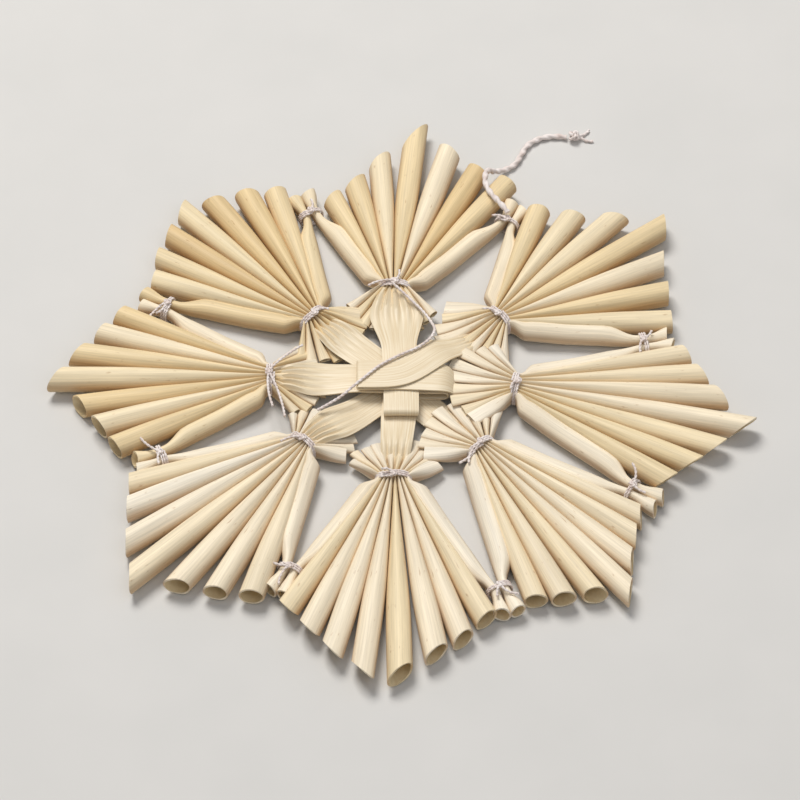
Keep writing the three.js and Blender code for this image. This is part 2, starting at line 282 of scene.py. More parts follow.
# Its knot has three lobes and two short ends, which rest on the surface.
LOBE, LOBE_HIGH, LOBE_THICK, END_THICK, KNOT_TWIST = 0.25, 0.42, 0.56, 0.48, 1.7
KNOT_END = ((0.4, 0, 0), (1.2, -0.1, -0.5), (2.2, -0.5, -0.72), (3.1, -0.5, -0.75))
KNOT_OTHER_END = ((0.4, 0.1, 0), (1.1, 0.5, -0.5), (1.9, 1.1, -0.72), (2.5, 1.9, -0.75))
knot_middle = middle_of("hanging_thread_knot")
lobes = [Vector(p) + knot_middle for p in overhand(LOBE, LOBE_HIGH, count=90)]
knot_parts = [twine("knot_lobes", np.array(lobes), LOBE_THICK, KNOT_TWIST)]
for end_name, end in (("knot_end", KNOT_END), ("knot_other_end", KNOT_OTHER_END)):
    end_line = smooth_line([knot_middle + Vector(p) for p in end])
    knot_parts.append(twine(end_name, end_line, END_THICK, KNOT_TWIST))
hanging_knot = join("hanging_thread_tight_knot", knot_parts)
for piece, node in ((hanging_thread, "hanging_thread"), (hanging_knot, "hanging_thread_knot")):
    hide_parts(node)
    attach(piece, "root")


# ---- Cotton threads: the long end of the north neck's thread -------------------------------------
# When the north arm's neck was bound, one end of the thread wasn't trimmed. It lies in a loose curve over the
# woven centre. It is a single thread, half as thick as the hanging one.
SINGLE, SINGLE_TWIST = 0.5, 1.5
loose_line = smooth_line(from_star([
    (-1.3, 18.0, 5.05), (0.2, 16.6, 4.6), (1.9, 14.9, 4.1), (3.5, 13.1, 3.75), (4.7, 10.9, 3.8),
    (5.1, 8.8, 4.7), (4.4, 6.7, 5.1), (2.7, 5.0, 5.1), (0.6, 3.8, 5.1), (-1.4, 2.6, 5.1),
    (-3.3, 1.2, 5.1), (-5.2, -0.7, 5.1), (-7.2, -2.6, 4.8), (-9.0, -4.2, 4.35), (-10.8, -5.6, 4.25),
    (-12.6, -6.7, 4.0),
]))
loose_end = twine("loose_thread_end_twisted", loose_line, SINGLE, SINGLE_TWIST)
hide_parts("loose_thread_end")
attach(loose_end, "root")


# ---- The fans of round straws --------------------------------------------------------------------
# Whole rye straws, dried and hollow. Nine or ten are soaked, bound near one end so that they spread on both
# sides of the thread, and pointed with two scissor cuts. The two edge straws of each fan run on to their ties
# with the next fans. Straw has a waxy skin with fine lengthwise fibres, and no two have quite one tone.
STRAW_WIDE, STRAW_HIGH, STRAW_WALL = 3.8, 3.75, 0.28
EDGE_WIDE = 3.15  # the edge straws, which are drawn in between two threads
NECK_WIDE, NECK_PITCH = 0.5, 0.45  # each straw's width in the neck and its distance from the next
NECK_HIGH, NECK_BOTTOM = 2.8, 0.75
STUB_SPREAD = 48  # degrees to each side of the axis
TIE_WIDE, TIE_HIGH, TIE_LONG, TIE_TAIL, TIE_GAP = 1.5, 2.1, 1.8, 3.5, 0.15
RINGS, SIDES = 44, 22  # how finely each straw is divided along and around

# Each arm: the turn and distance of its neck, its number of straws, and their tone, from pale to golden. Then
# its inner ends: how long they are, how far their tips rise, and which one kept its round shape, with -1 for
# the first, 0 for the middle one and 1 for the last. Then its outer ends: how far the longest reaches, the
# angle kept free beside the tied straws, the two cuts in degrees from the axis, how far the first of them
# leans under the straws, and the turn and distance of the tie on its counter-clockwise side.
ARMS = {
    "east": dict(
        turn=-3, neck=17.3, straws=9, tone=0.4, inner=10.8, rise=1.6, round_end=-1,
        reach=35.5, room=10.5, cuts=(52, 46), undercut=0.5, tie=(12.5, 38),
    ),
    "north_east": dict(
        turn=40.5, neck=19.8, straws=9, tone=0.5, inner=10.2, rise=0.5, round_end=1,
        reach=32, room=12, cuts=(56, 48), undercut=0, tie=(63.5, 37),
    ),
    "north": dict(
        turn=93, neck=19.2, straws=9, tone=0.5, inner=9.2, rise=0.7, round_end=0,
        reach=32.5, room=13, cuts=(60, 38), undercut=0, tie=(112, 37.5),
    ),
    "north_west": dict(
        turn=136, neck=18.7, straws=9, tone=0.68, inner=9.2, rise=0.5, round_end=-1,
        reach=31, room=11.5, cuts=(62, 58), undercut=0, tie=(156.5, 39),
    ),
    "west": dict(
        turn=177.5, neck=19.8, straws=9, tone=0.58, inner=9.2, rise=0.5, round_end=0,
        reach=33, room=13, cuts=(52, 52), undercut=0, tie=(201.5, 38.6),
    ),
    "south_west": dict(
        turn=219.5, neck=19.1, straws=9, tone=0.25, inner=8.6, rise=0, round_end=1,
        reach=36, room=10.5, cuts=(47, 56), undercut=0, tie=(245.5, 39.4),
    ),
    "south": dict(
        turn=266.5, neck=19, straws=10, tone=0.28, inner=9.2, rise=0, round_end=1,
        reach=38.5, room=9.5, cuts=(46, 50), undercut=0.55, tie=(290, 42),
    ),
    "south_east": dict(
        turn=312.5, neck=17.6, straws=9, tone=0.42, inner=10.2, rise=0.9, round_end=-1,
        reach=34.5, room=10, cuts=(60, 46), undercut=0, tie=(329, 40),
    ),
}
NAMES = list(ARMS)


def bearing(a, b):
    """The turn in which b is seen from a."""
    return math.degrees(math.atan2(b.y - a.y, b.x - a.x))


def turned(a, b):
    """From turn a to turn b the short way, in degrees."""
    return (b - a + 180) % 360 - 180


for number, arm in enumerate(ARMS.values()):
    before = ARMS[NAMES[number - 1]]
    arm["at"] = polar(arm["turn"], arm["neck"]) + star
    arm["ties"] = [before["tie"], arm["tie"]]
    arm["edges"] = [bearing(arm["at"], polar(*tie) + star) for tie in arm["ties"]]
    opening = turned(*arm["edges"])
    arm["axis"] = arm["edges"][0] + opening / 2
    arm["pitch"] = (opening - 2 * arm["room"]) / (arm["straws"] - 3)

# The blank straw is an open tube with evenly spaced rings, one unit apart. It is copied for each straw and
# laid ring by ring.
bpy.ops.mesh.primitive_cylinder_add(
    vertices=SIDES, radius=1, depth=RINGS, end_fill_type="NOTHING", calc_uvs=True
)
blank = bpy.context.object
bpy.ops.object.mode_set(mode="EDIT")
bpy.ops.mesh.select_all(action="DESELECT")
bpy.ops.mesh.select_mode(type="EDGE")
edit = bmesh.from_edit_mesh(blank.data)
for edge in edit.edges:  # its lengthwise edges
    edge.select_set(abs(edge.verts[0].co.z - edge.verts[1].co.z) > RINGS / 2)
bmesh.update_edit_mesh(blank.data)
bpy.ops.mesh.subdivide(number_cuts=RINGS - 1)
bpy.ops.object.mode_set(mode="OBJECT")
blank_place = np.array([v.co for v in blank.data.vertices])
blank_ring = np.rint(blank_place[:, 2] + RINGS / 2).astype(int)
blank_place[:, :2] *= -1  # a half turn, which puts the seam of its UV map underneath
# The crest also sets the skin's painted shade: the flanks, where the straws touch, are painted darker.
blank_crest = np.abs(blank_place[:, 1])  # 1 along its top and bottom, 0 on its flanks

draw = random.Random(20)
DENT, RIPPLE, CREASE = 0.018, 0.012, 0.35  # shares of the straw's radius
DENT_TURN = 0.05  # how fast the dents wind round the straw, in radians to a millimetre
INNER_PALER, PALER_OVER = 0.15, 5  # the inner ends come from the top of the stalk, which is paler


def lay_straw(stations, centre, heading, wide, high, tone):
    """A copy of the blank straw with its rings at the stations, which are distances along it."""
    obj = blank.copy()
    obj.data = blank.data.copy()
    bpy.context.scene.collection.objects.link(obj)
    place = np.zeros_like(blank_place)
    phase = draw.uniform(0, 6.28)
    for ring, s in enumerate(stations):
        chosen = blank_ring == ring
        unit = blank_place[chosen]
        side = polar(heading(s) + 90, 1)
        w, h = wide(s) / 2, high(s) / 2
        at = centre(s)
        # The skin is never quite round: it has slow dents that run along the straw.
        around = np.arctan2(unit[:, 1], unit[:, 0])
        dent = 1 + DENT * np.sin(3 * around + phase + s * DENT_TURN) + RIPPLE * np.sin(5 * around - 2 * phase)
        # Where it is pressed narrow it is creased along its top and bottom.
        crease = 1 + CREASE * max(0.0, 1 - w / h) * (blank_crest[chosen] - 1)
        x, z = unit[:, 0] * dent * w * crease, unit[:, 1] * dent * h
        place[chosen] = np.stack([at.x + side.x * x, at.y + side.y * x, at.z + z], 1)
    obj.data.vertices.foreach_set("co", (place * MM).ravel())
    along = stations[blank_ring]
    tones = tone - INNER_PALER * np.clip(-along / PALER_OVER, 0, 1)
    attributes = {"along": along, "seed": np.full(len(place), tone), "tone": tones, "crest": blank_crest}
    for name, values in attributes.items():
        layer = obj.data.attributes.new(name, "FLOAT", "POINT")
        layer.data.foreach_set("value", values.astype(np.float32))
    return obj


def cut_end(obj, place, outwards):
    """A scissor cut: all of the straw beyond a plane goes."""
    pick(obj)
    bpy.ops.object.mode_set(mode="EDIT")
    bpy.ops.mesh.select_all(action="SELECT")
    bpy.ops.mesh.bisect(plane_co=place * MM, plane_no=outwards, clear_outer=True, threshold=0.0005 * MM)
    bpy.ops.object.mode_set(mode="OBJECT")


def ease(t):
    """Rises smoothly from 0 to 1 while t does, and is level before and after."""
    t = min(1.0, max(0.0, t))
    return t * t * (3 - 2 * t)


def neck_place(arm, i):
    """Where straw i passes through the neck."""
    across = (i - (arm["straws"] - 1) / 2) * NECK_PITCH
    place = arm["at"] + polar(arm["axis"] + 90, across)
    place.z = NECK_BOTTOM + NECK_HIGH / 2
    return place


# The inner ends fan out flat, each one filling most of the angle to the next. The outer ones are trimmed
# shorter, and all are pressed flatter towards their tips. One in each fan keeps more of its round shape.
STUB_SHORTER, STUB_FILL, STUB_FLATTER, STUB_OVER = 3, 0.88, 2.2, 9
ROUND_END_WIDER, ROUND_END_OVER = 2.3, 4.5


def stub(arm, i):
    """The inner end of straw i: its turn, its length, and its width at a distance from the neck."""
    t = 2 * i / (arm["straws"] - 1) - 1
    turn = arm["axis"] + 180 - t * STUB_SPREAD + draw.uniform(-1, 1)
    length = arm["inner"] - STUB_SHORTER * abs(t) ** 1.5 + draw.uniform(-0.6, 0.4)
    if t == arm["round_end"]:
        return turn, length, lambda s: (
            NECK_WIDE + ROUND_END_WIDER * math.sin(min(1, s / ROUND_END_OVER) * math.pi / 2)
        )
    opening = STUB_FILL * math.radians(2 * STUB_SPREAD / (arm["straws"] - 1))
    return turn, length, lambda s: NECK_WIDE + opening * s


def stub_high(s):
    """An inner end's thickness at a distance from the neck."""
    return NECK_HIGH - STUB_FLATTER * ease(s / STUB_OVER)


def stub_floor(arm, s):
    """An inner end's height above the surface at a distance from the neck."""
    return NECK_BOTTOM + arm["rise"] * ease(s / STUB_OVER)


def run_of(neck, stub_turn, heading):
    """The straw's middle line and heading at a distance from the neck, the inner end being negative."""

    def line(s):
        return neck + polar(heading if s > 0 else stub_turn, abs(s))

    def way(s):  # it bends within a millimetre of the thread
        return heading + turned(heading, stub_turn + 180) * ease(0.5 - s / 2)

    return line, way


TONE_SPREAD = 0.11


def straw_tone(middle):
    """Each fan was made from one handful of straws, so its tones keep near one shade."""
    return min(1.0, max(0.0, draw.gauss(middle, TONE_SPREAD)))


# A free straw widens until it is round, comes down to the surface over its first 18 mm and may lift a little
# again. It is laid a little past its cut, and the dents in its skin need a hair of room above the surface.
ROUNDS_OFF, COMES_DOWN, LIFT, LIFT_OVER, PAST_CUT, SKIN_ROOM = 2.2, 18, 0.25, 25, 1.2, 0.07
STUB_RINGS, STUB_NEAR = 11, 0.6  # the inner end's rings, and how near to the neck they come


def free_straw(arm, i):
    """A straw that spreads from the neck and ends open, at one of the fan's two scissor cuts."""
    turn = arm["edges"][0] + arm["room"] + (i - 1) * arm["pitch"] + draw.uniform(-0.35, 0.35)
    off = turned(arm["axis"], turn)
    first = off < 0  # whether the first of the two cuts trims it
    cut_turn = arm["cuts"][0 if first else 1]
    cut = math.radians(cut_turn)
    corner = cut + math.radians(abs(off))
    reach = arm["reach"] * math.sin(cut) / math.sin(corner) + draw.uniform(-0.5, 0.5)
    tip = arm["at"] + polar(turn, reach)
    neck = neck_place(arm, i)
    heading = bearing(neck, tip)
    long = (tip - neck).to_2d().length
    inner_turn, inner_long, inner_wide = stub(arm, i)
    line, way = run_of(neck, inner_turn, heading)
    spread = math.radians(arm["pitch"])
    lift = draw.uniform(0, LIFT)
    full = STRAW_WIDE * draw.uniform(0.95, 1.03)

    def wide(s):
        if s < 0:
            return inner_wide(-s)
        free = NECK_WIDE + s * spread
        return full - math.log(1 + math.exp((full - free) * ROUNDS_OFF)) / ROUNDS_OFF

    def high(s):
        if s <= 0:
            return stub_high(-s)
        return NECK_HIGH + (STRAW_HIGH * full / STRAW_WIDE - NECK_HIGH) * ease(s / COMES_DOWN)

    def centre(s):
        at = line(s)
        floor = NECK_BOTTOM * (1 - ease(s / COMES_DOWN)) if s > 0 else stub_floor(arm, -s)
        at.z = floor + high(s) / 2 + lift * ease(s / LIFT_OVER) + SKIN_ROOM
        return at

    slanted = 0.5 * full / abs(math.tan(corner)) + PAST_CUT
    inner_stations = np.linspace(-inner_long, -STUB_NEAR, STUB_RINGS)
    outer_stations = np.linspace(0, long + slanted, RINGS + 1 - STUB_RINGS)
    stations = np.concatenate([inner_stations, outer_stations])
    obj = lay_straw(stations, centre, way, wide, high, straw_tone(arm["tone"]))
    side = 1 if first else -1
    askew, lean = draw.uniform(-4, 4), draw.uniform(-0.08, 0.12)
    square_on = arm["axis"] + 180 + side * cut_turn + side * 90
    outwards = polar(square_on + askew, 1, lean - arm["undercut"] * first)
    if outwards.dot(polar(heading, 1)) < 0:
        outwards = -outwards
    at = line(long)
    at.z = STRAW_HIGH / 2
    cut_end(obj, at, outwards)
    return obj


# A tied straw swells past the neck at once, on its free side: its outer edge stands 2.05 mm out and comes in
# by 1.3 mm on its straight way to the tie. There it is pinched and lifted, and its short tail flares again.
EDGE_OUT, EDGE_IN, EDGE_OVER, SHIFT_OVER = 2.05, 1.3, 3.2, 1.5
OPENS_OVER, THICKENS_OVER, PINCH_OVER = 4.2, 8, 5
TIE_LIFT, TIED_DOWN, TAIL_DROP, TAIL_DROP_OVER = 0.65, 10, 0.5, 4
TAIL_TURN, TAIL_WIDER, TAIL_HIGHER = 5, 1.1, 0.6
TIED_PALER = 0.2  # pale straws were picked to tie


def tied_straw(arm, i):
    """One of a fan's two edge straws, from its inner end through the neck and the tie to its tail."""
    outer = 1 if i > 0 else -1
    tie_turn, tie_radius = arm["ties"][1 if i > 0 else 0]
    beside = polar(tie_turn + 90, -outer * (TIE_WIDE + TIE_GAP) / 2)
    at_tie = polar(tie_turn, tie_radius) + star + beside
    neck = neck_place(arm, i)
    heading = bearing(neck, at_tie)
    run = (at_tie - neck).to_2d().length
    inner_turn, inner_long, inner_wide = stub(arm, i)
    line, way_in = run_of(neck, inner_turn, heading)
    tail_turn = tie_turn - outer * TAIL_TURN
    end = run + TIE_LONG / 2 + TIE_TAIL + draw.uniform(-0.6, 0.6)
    belly = EDGE_WIDE * draw.uniform(0.97, 1.05)

    def way(s):  # it turns into the tie over three millimetres and into its tail over two
        if s < run / 2:
            return way_in(s)
        into_tie = turned(heading, tie_turn) * ease((s - run + 3) / 3)
        return heading + into_tie + turned(tie_turn, tail_turn) * ease((s - run) / 2)

    def wide(s):
        if s < 0:
            return inner_wide(-s)
        opened = NECK_WIDE + (belly - NECK_WIDE) * math.sin(min(1, max(0, s) / OPENS_OVER) * math.pi / 2)
        pinched = TIE_WIDE + (belly - TIE_WIDE) * ease((run - TIE_LONG / 2 - s) / PINCH_OVER)
        flared = TIE_WIDE + TAIL_WIDER * ease((s - run - TIE_LONG / 2) / TIE_TAIL)
        return min(opened, pinched) if s < run else flared

    def high(s):
        if s < 0:
            return stub_high(-s)
        opened = NECK_HIGH + (belly - NECK_HIGH) * ease(s / THICKENS_OVER)
        pinched = TIE_HIGH + (belly - TIE_HIGH) * ease((run - TIE_LONG / 2 - s) / PINCH_OVER)
        flared = TIE_HIGH + TAIL_HIGHER * ease((s - run - TIE_LONG / 2) / TIE_TAIL)
        return min(opened, pinched) if s < run else flared

    def centre(s):
        on = min(s, run)
        at = line(on)
        if s > 0:
            outer_edge = ease(s / EDGE_OVER) * (EDGE_OUT - EDGE_IN * on / run)
            at = at + polar(heading + outer * 90, (outer_edge - wide(on) / 2) * ease(s / SHIFT_OVER))
        if s > run:
            past = s - run
            at = at + polar(way(run + past / 2), past)
        lifted = TIE_LIFT * ease((s - run + PINCH_OVER) / PINCH_OVER)
        dropped = 1 - TAIL_DROP * ease((s - run) / TAIL_DROP_OVER)
        floor = NECK_BOTTOM * (1 - ease(s / TIED_DOWN)) + lifted * dropped
        if s < 0:
            floor = stub_floor(arm, -s)
        at.z = floor + high(s) / 2 + SKIN_ROOM
        return at

    # Its rings, RINGS + 1 in all, stand closer where its section changes: at the neck and at the tie.
    spans = ((-inner_long, -STUB_NEAR, 9), (0, 4, 8), (5, run - 5, 10), (run - 4.3, end + 1, 18))
    stations = np.concatenate([np.linspace(*span) for span in spans])
    obj = lay_straw(stations, centre, way, wide, high, straw_tone(arm["tone"] - TIED_PALER))
    at = centre(end)
    cut_end(obj, at, polar(tail_turn + draw.uniform(-25, 25), 1, draw.uniform(-0.1, 0.3)))
    return obj


# The skin: pale gold, waxy and satin. Each straw's tone picks its colour, and its seed shifts the pattern, so
# that no two show the same stretch of it. Fine fibres run along it, broad streaks and small brown flecks
# stain it, its flanks are painted darker as painted shade for the valleys between touching straws, and it is
# browner within 11 mm of the neck.
SKIN_STOPS = ((0.0, "#F9EFDC"), (0.3, "#F8E8CB"), (0.5, "#F2DEB6"), (0.75, "#EACF9E"), (1.0, "#D2AE7C"))
# The first colour browns the skin near the neck, the second is the painted shade on the flanks, and the third
# stains the flecks.
NECK_BROWN, FLANK_PAINTED_SHADE, FLECK = "#C99F62", "#C39A64", "#B08652"
AROUND = 13.0  # the pattern's width round a straw
SEED_SHIFT = 90.0
FIBRE, FIBRE_LONG, FIBRE_DEEP = 0.28, 10, 0.06 * MM
STREAKS_PER_MM, STREAK_LONG = 0.9, 20
FLECK_WIDE, FLECK_LONG = 0.55, 2
NECK_BROWN_OVER = 11.0  # how far from the neck the browning reaches
skin, skin_shader = new_material("dried_rye_straw_skin")
skin_tone = add_node(skin, "ShaderNodeAttribute", {"attribute_name": "tone"})
skin_seed = add_node(skin, "ShaderNodeAttribute", {"attribute_name": "seed"})
skin_along = add_node(skin, "ShaderNodeAttribute", {"attribute_name": "along"})
skin_uv = add_node(skin, "ShaderNodeUVMap")
skin_around = add_node(skin, "ShaderNodeSeparateXYZ", Vector=skin_uv.outputs["UV"])
skin_shift = add_node(skin, "ShaderNodeMath", {"operation": "MULTIPLY"}, i0=skin_seed.outputs["Fac"])
skin_shift.inputs[1].default_value = SEED_SHIFT
skin_round = add_node(
    skin, "ShaderNodeMath", {"operation": "MULTIPLY_ADD"},
    i0=skin_around.outputs["X"], i2=skin_shift.outputs["Value"],
)
skin_round.inputs[1].default_value = AROUND
skin_place = add_node(
    skin, "ShaderNodeCombineXYZ", X=skin_round.outputs["Value"], Y=skin_along.outputs["Fac"]
)
skin_fine = add_node(
    skin, "ShaderNodeMapping", {"Scale": (1 / FIBRE, 1 / FIBRE_LONG, 1)}, Vector=skin_place.outputs["Vector"]
)
skin_fibres = add_node(
    skin, "ShaderNodeTexNoise", {"Scale": 1.0, "Detail": 3, "Roughness": 0.6},
    Vector=skin_fine.outputs["Vector"],
)
skin_coarse = add_node(
    skin, "ShaderNodeMapping", {"Scale": (STREAKS_PER_MM, 1 / STREAK_LONG, 1)},
    Vector=skin_place.outputs["Vector"],
)
skin_streaks = add_node(
    skin, "ShaderNodeTexNoise", {"Scale": 1.0, "Detail": 3}, Vector=skin_coarse.outputs["Vector"]
)
skin_shade = add_node(skin, "ShaderNodeValToRGB", i0=skin_tone.outputs["Fac"])
shades = skin_shade.color_ramp.elements
for position, code in SKIN_STOPS:
    element = shades[0] if position == 0 else shades[-1] if position == 1 else shades.new(position)
    element.color = linear(code)
skin_light = add_node(
    skin, "ShaderNodeMapRange", {"From Min": 0.32, "From Max": 0.68, "To Min": 0.86, "To Max": 1.04},
    Value=skin_fibres.outputs["Fac"],
)
skin_streaked = add_node(
    skin, "ShaderNodeMapRange", {"From Min": 0.35, "From Max": 0.65, "To Min": 0.88, "To Max": 1.05},
    Value=skin_streaks.outputs["Fac"],
)
skin_both = add_node(
    skin, "ShaderNodeMath", {"operation": "MULTIPLY"},
    i0=skin_light.outputs["Result"], i1=skin_streaked.outputs["Result"],
)
skin_lit = add_node(
    skin, "ShaderNodeVectorMath", {"operation": "SCALE"},
    i0=skin_shade.outputs["Color"], Scale=skin_both.outputs["Value"],
)
# The skin is made browner within 11 mm of the neck, most at the neck itself.
skin_from_neck = add_node(skin, "ShaderNodeMath", {"operation": "ABSOLUTE"}, i0=skin_along.outputs["Fac"])
skin_neck_brown_amount = add_node(
    skin, "ShaderNodeMapRange", {"From Min": 0.0, "From Max": NECK_BROWN_OVER, "To Min": 0.11, "To Max": 0.0},
    Value=skin_from_neck.outputs["Value"],
)
skin_browned = add_node(
    skin, "ShaderNodeMix", {"data_type": "RGBA", "blend_type": "MULTIPLY"},
    i0=skin_neck_brown_amount.outputs["Result"], i6=skin_lit.outputs["Vector"],
)
skin_browned.inputs[7].default_value = linear(NECK_BROWN)
# Painted shade: the flanks are darkened towards the flank colour, standing for the shadow in the valleys
# between the straws.
skin_crest = add_node(skin, "ShaderNodeAttribute", {"attribute_name": "crest"})
skin_flank_shade_amount = add_node(
    skin, "ShaderNodeMapRange",
    {"From Min": -0.1, "From Max": 0.85, "To Min": 0.62, "To Max": 0.0, "interpolation_type": "SMOOTHSTEP"},
    Value=skin_crest.outputs["Fac"],
)
skin_flank_shaded = add_node(
    skin, "ShaderNodeMix", {"data_type": "RGBA", "blend_type": "MULTIPLY"},
    i0=skin_flank_shade_amount.outputs["Result"], i6=skin_browned.outputs[2],
)
skin_flank_shaded.inputs[7].default_value = linear(FLANK_PAINTED_SHADE)
skin_fleck_place = add_node(
    skin, "ShaderNodeMapping", {"Scale": (1 / FLECK_WIDE, 1 / FLECK_LONG, 1)},
    Vector=skin_place.outputs["Vector"],
)
skin_fleck = add_node(
    skin, "ShaderNodeTexNoise", {"Scale": 1.0, "Detail": 2}, Vector=skin_fleck_place.outputs["Vector"]
)
skin_flecks = add_node(
    skin, "ShaderNodeMapRange", {"From Min": 0.66, "From Max": 0.78, "To Min": 0.0, "To Max": 0.5},
    Value=skin_fleck.outputs["Fac"],
)
skin_flecked = add_node(
    skin, "ShaderNodeMix", {"data_type": "RGBA", "blend_type": "MULTIPLY"},
    i0=skin_flecks.outputs["Result"], i6=skin_flank_shaded.outputs[2],
)
skin_flecked.inputs[7].default_value = linear(FLECK)
skin_bump = add_node(
    skin, "ShaderNodeBump", {"Strength": 0.35, "Distance": FIBRE_DEEP}, Height=skin_fibres.outputs["Fac"]
)
skin.node_tree.links.new(skin_flecked.outputs[2], skin_shader.inputs["Base Color"])
skin.node_tree.links.new(skin_bump.outputs["Normal"], skin_shader.inputs["Normal"])
skin_shader.inputs["Roughness"].default_value = 0.5
skin_shader.inputs["Specular IOR Level"].default_value = 0.3

# The inside of the straw is matt pith, a little browner than the skin, in soft patches.
PITH_DARK, PITH_PALE, PITH_PATCH = "#DCC190", "#F3E2BD", 0.8 * MM
pith, pith_shader = new_material("straw_pith")
pith_place = add_node(pith, "ShaderNodeTexCoord")
pith_tone = add_node(
    pith, "ShaderNodeTexNoise", {"Scale": 1 / PITH_PATCH, "Detail": 3}, Vector=pith_place.outputs["Object"]
)
pith_ramp = add_node(pith, "ShaderNodeValToRGB", i0=pith_tone.outputs["Fac"])
pith_ramp.color_ramp.elements[0].color = linear(PITH_DARK)
pith_ramp.color_ramp.elements[1].color = linear(PITH_PALE)
pith.node_tree.links.new(pith_ramp.outputs["Color"], pith_shader.inputs["Base Color"])
pith_shader.inputs["Roughness"].default_value = 0.8

# The wall is pressed thin at the neck and is whole again 12 mm from it. An inner end longer than ten
# millimetres thins out to a bare edge.
WALL_WHOLE, WALL_INNER, WALL_LEAST = 12, 10, 0.12
for name, arm in ARMS.items():
    last = arm["straws"] - 1
    straws = [tied_straw(arm, i) if i in (0, last) else free_straw(arm, i) for i in range(last + 1)]
    fan = join("straws_" + name, straws)
    along = np.zeros(len(fan.data.vertices), np.float32)
    fan.data.attributes["along"].data.foreach_get("value", along)
    whole_mm = np.minimum(np.rint(along), WALL_WHOLE)
    thin = fan.vertex_groups.new(name="wall")
    for s in range(-WALL_INNER, WALL_WHOLE + 1):
        chosen = [int(v) for v in np.nonzero(whole_mm == s)[0]]
        thin.add(chosen, max(WALL_LEAST, abs(s) / WALL_WHOLE), "REPLACE")
    fan.data.materials.clear()
    fan.data.materials.append(skin)
    fan.data.materials.append(pith)
    wall = fan.modifiers.new("wall", "SOLIDIFY")
    wall.thickness = STRAW_WALL * MM
    wall.offset = -1
    wall.vertex_group = "wall"
    wall.material_offset = 1
    wall.use_even_offset = False
    pick(fan)
    bpy.ops.object.modifier_apply(modifier="wall")
    bpy.ops.object.shade_smooth_by_angle(angle=math.radians(50))
    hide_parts("fan_" + name)
    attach(fan, "root")
bpy.data.objects.remove(blank)


# ---- The woven centre ----------------------------------------------------------------------------
# Four straws, slit, soaked and ironed flat, are each folded in half and hooked over the next, so that their
# eight ends leave the middle like spokes. Each end lies over one bundle and is gathered under that bundle's
# neck thread.
RIBBON_WIDE, RIBBON_END, RIBBON_WALL = 5.3, 2.8, 0.26
RIBBON_FOLD, RIBBON_BULGE, RIBBON_PAST = 6.4, 0.7, 1.6  # the last is how far each end runs past the neck
LEVEL_BOTTOM, LEVEL_HIGH, LEVEL_GAP = 1.1, 0.34, 0.13
LEVEL = LEVEL_HIGH + LEVEL_GAP
CROSSING, BEND = 6.8, 2.2  # how far from the middle the weave ends, and where the limbs bend to their arms
CROWN, PLEAT = 0.12, 0.36  # how far a limb bulges across its width, and how deep its gathers are at the neck
ON_STUBS = NECK_BOTTOM + NECK_HIGH + 0.3  # the height of a limb that lies on the inner ends at the neck
STUB_SLOPE, SINK, SINK_OVER = 0.17, 1.6, 4
LOWEST_SLOPE, LOWEST_TOP = 0.12, 2.0
ACROSS, LIMB_STEPS, LIMB_ROWS = 24, 20, 48

# Each folded straw: the turn of its fold, and its two limbs. A limb has the arm that it reaches, its level in
# the weave, how far from the neck it starts to sink in between the straws' inner ends, its greatest width
# there, and how far past the weave it has come to that width and height.
FOLDED = {
    "north": (90, (("south_east", 0, 12.0, 5.0, 4.5), ("south", 2, 7.5, 4.8, 4.5))),
    "east": (0, (("south_west", 1, 3.0, 6.6, 6.0), ("west", 4, 3.5, 6.6, 7.0))),
    "south": (270, (("north_west", 3, 4.5, 5.8, 6.0), ("north", 5, 2.5, 8.6, 7.0))),
    "west": (180, (("east", 6, 10.8, 3.0, 2.0), ("north_east", 7, 8.5, 3.4, 5.5))),
}


def limb(turn, name, level, dive, broad, fall):
    """Stations of one limb, from its fold to just past the neck: place, heading, width and depth of pleat."""
    arm = ARMS[name]
    z = LEVEL_BOTTOM + level * LEVEL + LEVEL_HIGH / 2
    inwards = turn + 180
    after = inwards + turned(inwards, arm["turn"])
    a, b = polar(turn, BEND), polar(arm["turn"], BEND)
    rows = [(polar(turn, RIBBON_FOLD, z), inwards, RIBBON_WIDE, 0)]
    for t in (0, 0.5, 1):
        at = a * (1 - t) ** 2 + b * t**2
        at.z = z
        rows.append((at, inwards + (after - inwards) * t, RIBBON_WIDE, 0))
    neck = arm["at"] - star
    heading = after + turned(after, arm["axis"])
    reach = arm["neck"] - CROSSING  # from the neck to where the weave ends
    for t in np.linspace(0, 1, LIMB_STEPS):
        d = reach * (1 - t) - RIBBON_PAST * t  # the distance still to go to the neck
        at = polar(arm["turn"], arm["neck"] - d) if d > 0 else neck + polar(heading, -d)
        if level:
            rest = ON_STUBS - STUB_SLOPE * max(0, d) - SINK * ease(max(0, dive - d) / SINK_OVER)
        else:
            rest = min(z + LOWEST_SLOPE * (reach - d), LOWEST_TOP)
        at.z = z + (rest - z) * ease((reach - d) / fall)
        wide = float(np.interp(d, (-0.6, reach - fall, reach), (RIBBON_END, broad, RIBBON_WIDE)))
        # It turns to the bundle's own line over its last 7 mm, and its gathers begin 10 mm from the neck.
        rows.append((at, after + (heading - after) * ease(1.2 - d / 6), wide, PLEAT * ease(1.15 - d / 9)))
    return rows


def resample(rows, count):
    """Evenly spaced stations along a limb, with their corners smoothed."""
    places = np.array([tuple(r[0]) for r in rows])
    rest = np.array([r[1:] for r in rows], float)
    along = np.concatenate([[0], np.cumsum(np.linalg.norm(np.diff(places, axis=0), axis=1))])
    table = np.hstack([places, rest])
    even = np.linspace(0, along[-1], count)
    out = np.stack([np.interp(even, along, table[:, k]) for k in range(table.shape[1])], 1)
    for _ in range(3):
        out[1:-1] = (out[:-2] + 2 * out[1:-1] + out[2:]) / 4
    return out


